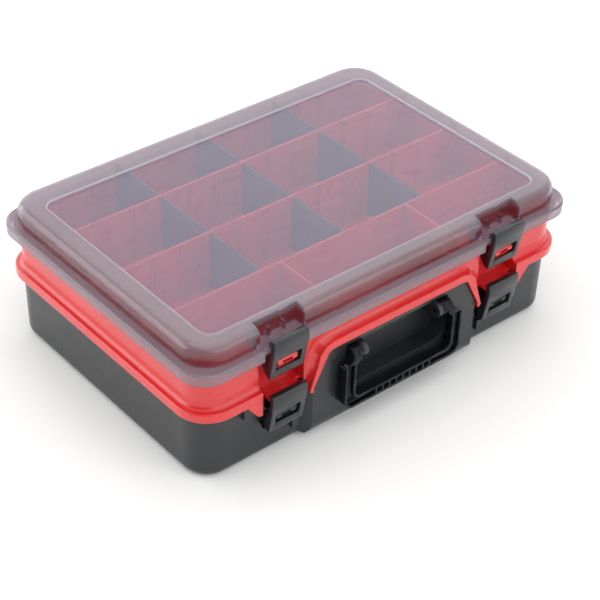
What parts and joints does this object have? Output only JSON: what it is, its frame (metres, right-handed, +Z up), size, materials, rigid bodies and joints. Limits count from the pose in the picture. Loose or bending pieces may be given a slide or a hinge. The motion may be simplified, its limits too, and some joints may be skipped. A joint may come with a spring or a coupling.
{
  "type": "fishing tackle cabinet",
  "caption": "Stacked hinged tackle case with a compartment tray, clear smoke lid, removable dividers, snap latches and a folding carry handle.",
  "frame": {"origin": "on the flat bottom of the base, under the middle of the case", "axes": "+X to the right along the front, +Y from the front to the hinged back, +Z up"},
  "size_m": [0.381, 0.2838, 0.124],
  "materials": {
    "charcoal_plastic": "fine satin moulding",
    "red_plastic": "semi-gloss moulding",
    "smoke_clear": "clear smoke tint, polished",
    "black_plastic": "satin moulding",
    "divider_grey": "satin moulding",
    "steel_pin": "drawn wire"
  },
  "bodies": {
    "base": {"base_case": "charcoal_plastic", "base_divider_back_left": "divider_grey", "base_divider_back_right": "divider_grey", "base_divider_front_left": "divider_grey", "base_divider_front_right": "divider_grey", "tray_hinge_pin_left": "steel_pin", "tray_hinge_pin_right": "steel_pin"},
    "tray": {"tray": "red_plastic", "divider_back_left": "divider_grey", "divider_back_middle": "divider_grey", "divider_back_right": "divider_grey", "divider_centre_left": "divider_grey", "divider_centre_middle": "divider_grey", "divider_centre_right": "divider_grey", "divider_front_left": "divider_grey", "divider_front_middle": "divider_grey", "divider_front_right": "divider_grey", "lid_hinge_pin_left": "steel_pin", "lid_hinge_pin_right": "steel_pin"},
    "lid": {"lid": "smoke_clear"},
    "upper_latch_left": {"upper_latch_left": "black_plastic"},
    "upper_latch_right": {"upper_latch_right": "black_plastic"},
    "lower_latch_left": {"lower_latch_left": "black_plastic"},
    "lower_latch_right": {"lower_latch_right": "black_plastic"},
    "handle": {"carry_handle": "black_plastic"}
  },
  "joints": [
    {"name": "tray_hinge", "type": "hinge", "parent": "base", "child": "tray", "pos_m": [0, 0.1375, 0.0585], "axis": [-1, 0, 0], "range_deg": [0, 85]},
    {"name": "lid_hinge", "type": "hinge", "parent": "tray", "child": "lid", "pos_m": [0, 0.1375, 0.097], "axis": [-1, 0, 0], "range_deg": [0, 95]},
    {"name": "upper_latch_left_turn", "type": "hinge", "parent": "tray", "child": "upper_latch_left", "pos_m": [-0.1105, -0.13, 0.0905], "axis": [1, 0, 0], "range_deg": [0, 90]},
    {"name": "upper_latch_right_turn", "type": "hinge", "parent": "tray", "child": "upper_latch_right", "pos_m": [0.1105, -0.13, 0.0905], "axis": [1, 0, 0], "range_deg": [0, 90]},
    {"name": "lower_latch_left_turn", "type": "hinge", "parent": "base", "child": "lower_latch_left", "pos_m": [-0.1105, -0.13, 0.04], "axis": [1, 0, 0], "range_deg": [0, 90]},
    {"name": "lower_latch_right_turn", "type": "hinge", "parent": "base", "child": "lower_latch_right", "pos_m": [0.1105, -0.13, 0.04], "axis": [1, 0, 0], "range_deg": [0, 90]},
    {"name": "handle_fold", "type": "hinge", "parent": "base", "child": "handle", "pos_m": [0, -0.134, 0.067], "axis": [-1, 0, 0], "range_deg": [0, 95]}
  ]
}
